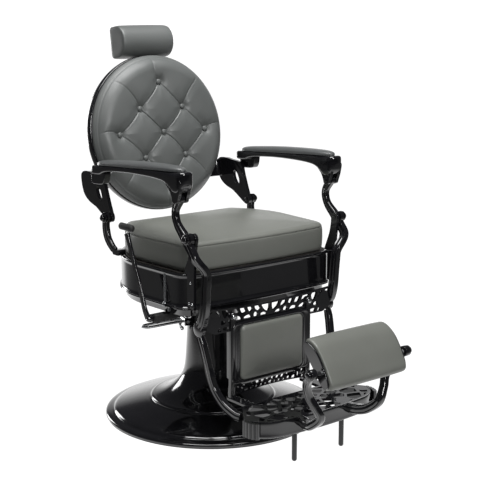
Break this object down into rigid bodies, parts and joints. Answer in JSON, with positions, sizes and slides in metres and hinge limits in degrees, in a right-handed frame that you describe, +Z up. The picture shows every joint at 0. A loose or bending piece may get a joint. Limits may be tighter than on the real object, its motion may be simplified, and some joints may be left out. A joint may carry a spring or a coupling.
{
  "type": "hydraulic barber chair",
  "caption": "Swivelling, lifting and reclining salon chair with a round tufted back, level armrests, pierced leg frame, flip foot pad and a flared round base.",
  "frame": {"origin": "on the pedestal axis at floor level, at the centre of the pump's foot plate", "axes": "+Z up; the sitter faces -Y; +X is towards the sitter's left hand"},
  "size_m": [0.6835, 1.141, 1.1974],
  "materials": {
    "black_paint": "gloss black enamel",
    "black_shell": "gloss black moulded shell",
    "grey_upholstery": "smooth mid grey artificial leather over foam",
    "chrome": "polished",
    "machined_steel": "machined",
    "black_rubber": "matt",
    "plywood": "plain ply"
  },
  "bodies": {
    "base": {"base_floor_ring": "black_rubber", "base_shell": "black_paint", "pump_foot_plate": "machined_steel", "pump_cylinder": "machined_steel", "column_top_ring": "black_paint", "pump_lever_bracket": "black_paint", "pump_lever_pin": "machined_steel"},
    "pump_lever_body": {"pump_lever": "chrome"},
    "lift_column": {"lift_ram": "chrome", "ram_sleeve": "black_paint"},
    "seat": {"seat_turntable": "machined_steel", "seat_under_frame": "black_paint", "seat_pan": "black_paint", "seat_board": "plywood", "seat_cushion": "grey_upholstery", "seat_front_lug_left": "black_paint", "seat_front_lug_right": "black_paint", "seat_rear_post_left": "black_paint", "seat_rear_post_right": "black_paint", "front_pivot_bolt_left": "black_paint", "front_pivot_bolt_right": "black_paint", "rear_pivot_bolt_left": "black_paint", "rear_pivot_bolt_right": "black_paint", "recline_lock_cylinder": "machined_steel", "lever_bearing": "black_paint"},
    "recline_lever_body": {"recline_lever_bar": "black_paint", "recline_lever_grip": "black_rubber", "lever_clamp_block": "black_rubber", "lever_rod": "chrome"},
    "backrest": {"back_cushion": "grey_upholstery", "back_shell": "black_shell", "back_bracket_left": "black_paint", "back_bracket_right": "black_paint", "headrest_socket": "black_paint"},
    "headrest_slider": {"headrest_post": "black_paint", "headrest_hinge_pin": "machined_steel"},
    "headrest": {"headrest_plate": "black_paint", "headrest_cushion": "grey_upholstery"},
    "leg_frame": {"front_post_left": "black_paint", "front_post_right": "black_paint", "upper_leg_panel": "black_paint", "lower_leg_panel": "black_paint", "leg_pad_frame": "black_paint", "leg_pad": "grey_upholstery", "leg_rail_left": "black_paint", "leg_rail_right": "black_paint", "foot_platform": "black_paint", "foot_arm_left": "black_paint", "foot_arm_right": "black_paint", "step_rod_left": "black_paint", "step_rod_right": "black_paint"},
    "foot_pad": {"foot_pad_cushion": "grey_upholstery", "foot_pad_backing": "grey_upholstery", "foot_pad_end_plate_left": "black_paint", "foot_pad_end_plate_right": "black_paint"},
    "armrest_left_body": {"armrest_left": "black_paint", "arm_pad_left": "grey_upholstery"},
    "armrest_right_body": {"armrest_right": "black_paint", "arm_pad_right": "grey_upholstery"}
  },
  "joints": [
    {"name": "seat_lift", "type": "slide", "parent": "base", "child": "lift_column", "axis": [0, 0, 1], "range_m": [0, 0.15]},
    {"name": "seat_swivel", "type": "hinge", "parent": "lift_column", "child": "seat", "pos_m": [0, 0, 0.412], "axis": [0, 0, 1], "continuous": true},
    {"name": "pump_stroke", "type": "hinge", "parent": "base", "child": "pump_lever_body", "pos_m": [-0.0908, 0.02433, 0.308], "axis": [-0.2588, -0.9659, 0], "range_deg": [0, 16], "stiffness_Nm_per_rad": 20, "springref_deg": -8.59},
    {"name": "recline_release", "type": "hinge", "parent": "seat", "child": "recline_lever_body", "pos_m": [-0.2, -0.136, 0.386], "axis": [-1, 0, 0], "range_deg": [0, 15], "stiffness_Nm_per_rad": 12, "springref_deg": -8.59},
    {"name": "back_recline", "type": "hinge", "parent": "seat", "child": "backrest", "pos_m": [0, 0.158, 0.634], "axis": [-1, 0, 0], "range_deg": [0, 40]},
    {"name": "leg_swing", "type": "hinge", "parent": "seat", "child": "leg_frame", "pos_m": [0, -0.27, 0.634], "axis": [-1, 0, 0], "range_deg": [0, 40]},
    {"name": "armrest_level_left", "type": "hinge", "parent": "leg_frame", "child": "armrest_left_body", "pos_m": [0.28, -0.23, 0.742], "axis": [-1, 0, 0], "range_deg": [-40, 0]},
    {"name": "armrest_level_right", "type": "hinge", "parent": "leg_frame", "child": "armrest_right_body", "pos_m": [-0.28, -0.23, 0.742], "axis": [-1, 0, 0], "range_deg": [-40, 0]},
    {"name": "headrest_height", "type": "slide", "parent": "backrest", "child": "headrest_slider", "axis": [0, 0.1495, 0.9888], "range_m": [0, 0.08]},
    {"name": "headrest_tilt", "type": "hinge", "parent": "headrest_slider", "child": "headrest", "pos_m": [0, 0.43109, 1.14112], "axis": [-1, 0, 0], "range_deg": [0, 25]},
    {"name": "foot_pad_flip", "type": "hinge", "parent": "leg_frame", "child": "foot_pad", "pos_m": [0, -0.66, 0.32], "axis": [1, 0, 0], "range_deg": [0, 165]}
  ],
  "couplings": [
    {"joint": "leg_swing", "follows": "back_recline", "ratio": 1},
    {"joint": "armrest_level_left", "follows": "back_recline", "ratio": -1},
    {"joint": "armrest_level_right", "follows": "back_recline", "ratio": -1}
  ]
}
